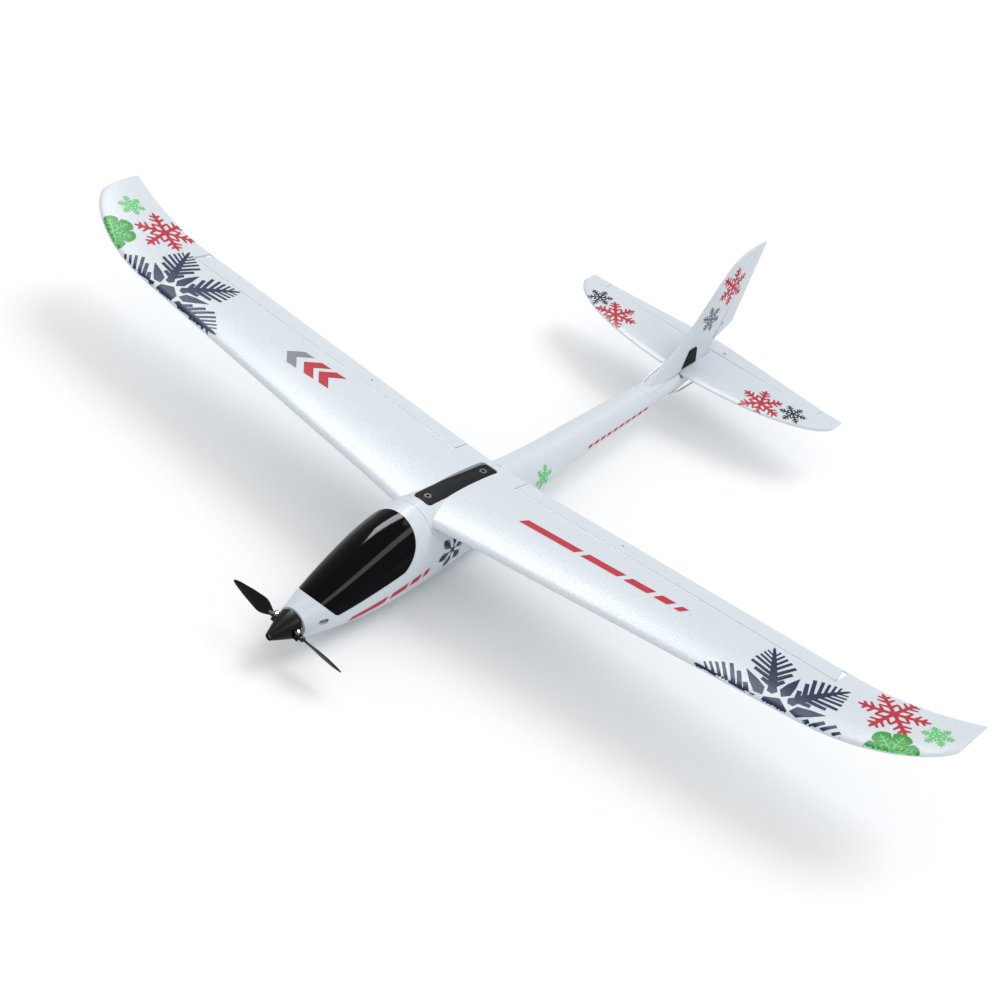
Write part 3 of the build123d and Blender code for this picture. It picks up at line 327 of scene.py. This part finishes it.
def rosette(size):
    """A solid flower of six round lobes that meet at its centre."""
    notch = (0.62 * size * cos(radians(30)), 0.62 * size * sin(radians(30)))
    rim = [(0.55 * size + 0.45 * size * cos(radians(turn)), 0.45 * size * sin(radians(turn)))
           for turn in range(-60, 61, 15)]
    return around([(0, 0), (notch[0], -notch[1]), *rim, notch])


def over(x, y, turn, z=0.11, stretch=1.0):
    """Placement above the aircraft, looking straight down; x and y in millimetres."""
    return (Matrix.Translation((x * MM, y * MM, z)) @ Matrix.Rotation(radians(turn), 4, "Z")
            @ Matrix.Diagonal((1, stretch, 1, 1)))


def beside(side, y, z, turn=0.0):
    """Placement beside the fuselage: outline X runs aft on port and forward on starboard."""
    across = Matrix(((0, 0, side, side * 0.05), (side, 0, 0, y * MM), (0, 1, 0, z * MM), (0, 0, 0, 1)))
    return across @ Matrix.Rotation(radians(turn), 4, "Z")


def slanted_bars(spans, half, lean):
    """Leaning bars, one for each (start, length) of spans, in millimetres; half is half their height."""
    bars = []
    for start, length in spans:
        x0, x1, low, high = start * MM, (start + length) * MM, -half * MM, half * MM
        bars.append([(x0 + lean * low, low), (x1 + lean * low, low), (x1 + lean * high, high),
                     (x0 + lean * high, high)])
    return bars


SIDES = ((1, "port"), (-1, "starboard"))

# x, y and turn of the four marks near each wing tip: crystal, red flake, flower, small flake
WING_MARKS = (
    (1, "port", (281, -107, 2), (340, -53.5, 18), (357.6, -86, 30), (372.5, -56, 12)),
    (-1, "starboard", (-276, -104, -3), (-330, -51, -18), (-350, -86, -30), (-365, -54, -12)),
)
fixed_wing = {1: surface_tree(["wing_left"]), -1: surface_tree(["wing_right"])}
for side, label, navy_at, red_at, flower_at, small_at in WING_MARKS:
    tree = fixed_wing[side]
    printed(f"navy_flake_{label}", crystal(59 * MM), over(*navy_at), tree, NAVY)
    printed(f"red_flake_{label}", [snowflake(24 * MM, 0.12, FINE_FLAKE)], over(*red_at), tree, RED)
    printed(f"green_flower_{label}", rosette(17.5 * MM), over(*flower_at), tree, GREEN)
    printed(f"green_veins_{label}", [snowflake(15 * MM, 0.09, FINE_FLAKE)],
            over(*flower_at), tree, LIGHT_GREEN, coats=2)
    printed(f"small_flake_{label}", [snowflake(11 * MM, 0.15, FINE_FLAKE)],
            over(*small_at), tree, LIGHT_GREEN)

# slanted bars along the port wing
wing_bars = slanted_bars(((-66, 46), (-15, 30), (20, 19), (44, 11), (60, 5)), 3.2, 0.6)
printed("stripe_port", wing_bars, over(124, -80, 4), fixed_wing[1], RED)


CHEVRON_REACH = 10.5 * MM  # half its height
CHEVRON_WIDTH = 9 * MM


def chevron(x):
    """A sideways arrow that points along +X, made of two slanted bars."""
    tip = 0.8 * CHEVRON_REACH
    return [[(x, end), (x + CHEVRON_WIDTH, end), (x + CHEVRON_WIDTH + tip, 0), (x + tip, 0)]
            for end in (-CHEVRON_REACH, CHEVRON_REACH)]


# three chevrons on the starboard wing
chevron_place = over(-149, -78, 184)
printed("chevron_grey", chevron(6 * MM), chevron_place, fixed_wing[-1], GREY)
printed("chevron_red", chevron(-10 * MM) + chevron(-24 * MM), chevron_place, fixed_wing[-1], RED)

# tail
stab_tree = surface_tree(["stabilizer"])
for side, label, black_x, red_x in ((1, "port", 92.5, 68.5), (-1, "starboard", -97.5, -74.5)):
    printed(f"tail_flake_red_{label}", [snowflake(18 * MM, 0.13, FINE_FLAKE)],
            over(red_x, 195, side * 50), stab_tree, RED)
    printed(f"tail_flake_black_{label}", [snowflake(11 * MM, 0.13, FINE_FLAKE)],
            over(black_x, 204, side * 20), stab_tree, INK_BLACK)

fin_tree = surface_tree(["fin"])
rudder_tree = surface_tree(["rudder"])
for side, label in SIDES:
    for part, tree, body in (("fin", fin_tree, "airframe"), ("rudder", rudder_tree, "rudder")):
        printed(f"{part}_flake_red_{label}", [snowflake(17 * MM, 0.12, FINE_FLAKE)],
                beside(side, 228, 98, 20), tree, RED, body)
    printed(f"fin_flake_slate_{label}", [snowflake(11.5 * MM, 0.13, FINE_FLAKE)],
            beside(side, 206, 77, 40), fin_tree, SLATE)

# ends of the screws that hold the two tail horns
horn_screw = [hexagon(1.7 * MM)]
printed("elevator_spot", horn_screw, over(11.5, 226, 0), surface_tree(["elevator"]), SPOT, "elevator")
printed("rudder_spot", horn_screw, beside(1, 227.5, 63.5), rudder_tree, SPOT, "rudder")

# pod and boom
pod_tree = surface_tree(["fuselage_left", "fuselage_right"])
pod_bars = slanted_bars(((-34, 30), (0, 15), (18, 9), (30, 5)), 2.6, 0.5)
boom_dashes = slanted_bars([(start, 5.5) for start in range(-38, 38, 8)], 1.3, 0.5)
for side, label in SIDES:
    printed(f"pod_stripe_{label}", pod_bars, beside(side, -173, 22.5, 9), pod_tree, RED)
    printed(f"pod_flake_navy_{label}", [snowflake(15 * MM, 0.08, BIG_FLAKE)],
            beside(side, -115, 34, 10), pod_tree, NAVY)
    printed(f"boom_flake_{label}", [snowflake(10 * MM, 0.13, FINE_FLAKE)],
            beside(side, -2, 33, 10), pod_tree, LIGHT_GREEN)
    printed(f"boom_dashes_{label}", boom_dashes, beside(side, 91, 32, -1.2), pod_tree, RED)

# ---------------------------------------------------------------- light, floor and camera
floor_mesh = bpy.data.meshes.new("floor")
FLOOR_REACH = 6.0
FLOOR_DROP = 0.2 * MM  # below the lowest point, so that the two faces do not fight
floor_corners = [(turn_x * FLOOR_REACH, turn_y * FLOOR_REACH, 0)
                 for turn_x, turn_y in ((-1, -1), (1, -1), (1, 1), (-1, 1))]
floor_mesh.from_pydata(floor_corners, [], [(0, 1, 2, 3)])
floor = bpy.data.objects.new("floor", floor_mesh)
floor.location.z = cad_box[0][2] - FLOOR_DROP
bpy.context.scene.collection.objects.link(floor)
floor_mesh.materials.append(new_material("floor", (0.93, 0.935, 0.94), 0.9, specular=0.1)[0])

LAMP_TARGET = Vector((0, -0.19, 0.05))  # the canopy


def softbox(name, place, size, power):
    """A long lamp that only shows as a reflection; its first size runs along the aircraft."""
    light = bpy.data.lights.new(name, "AREA")
    light.shape = "RECTANGLE"
    light.size, light.size_y = size
    light.energy = power
    lamp = bpy.data.objects.new(name, light)
    lamp.location = place
    lamp.rotation_euler = (LAMP_TARGET - Vector(place)).to_track_quat("-Z", "Y").to_euler()
    lamp.visible_diffuse = False
    bpy.context.scene.collection.objects.link(lamp)


sun = bpy.data.lights.new("key", "SUN")
sun.energy = 1.0
sun.angle = radians(30)
sun_lamp = bpy.data.objects.new("key", sun)
sun_lamp.rotation_euler = Vector((0.25, 1.0, 1.25)).to_track_quat("Z", "Y").to_euler()
bpy.context.scene.collection.objects.link(sun_lamp)
softbox("strip_port", (1.04, 0.15, 1.22), (1.3, 0.38), 15.0)
softbox("strip_starboard", (-0.66, 0.42, 1.42), (0.8, 0.48), 56.0)
world = bpy.data.worlds.new("studio")
world.use_nodes = True
world.node_tree.nodes["Background"].inputs["Color"].default_value = (0.995, 0.997, 1.0, 1)
world.node_tree.nodes["Background"].inputs["Strength"].default_value = 0.86
bpy.context.scene.world = world

# a long lens from ahead, port and above, rolled as in the photograph
camera = bpy.data.objects.new("camera", bpy.data.cameras.new("camera"))
camera.data.lens = 84.24
camera.data.sensor_width = 36
right = Vector((0.751887, 0.638827, 0.162991))
up = Vector((-0.504430, 0.398233, 0.766133))
back = right.cross(up)
aim = Matrix((right, up, back)).transposed().to_4x4()
camera.matrix_world = Matrix.Translation((0.71285, -1.13427, 1.06027)) @ aim
bpy.context.scene.collection.objects.link(camera)
bpy.context.scene.camera = camera
bpy.context.scene.view_settings.view_transform = "Standard"

bpy.context.view_layer.update()
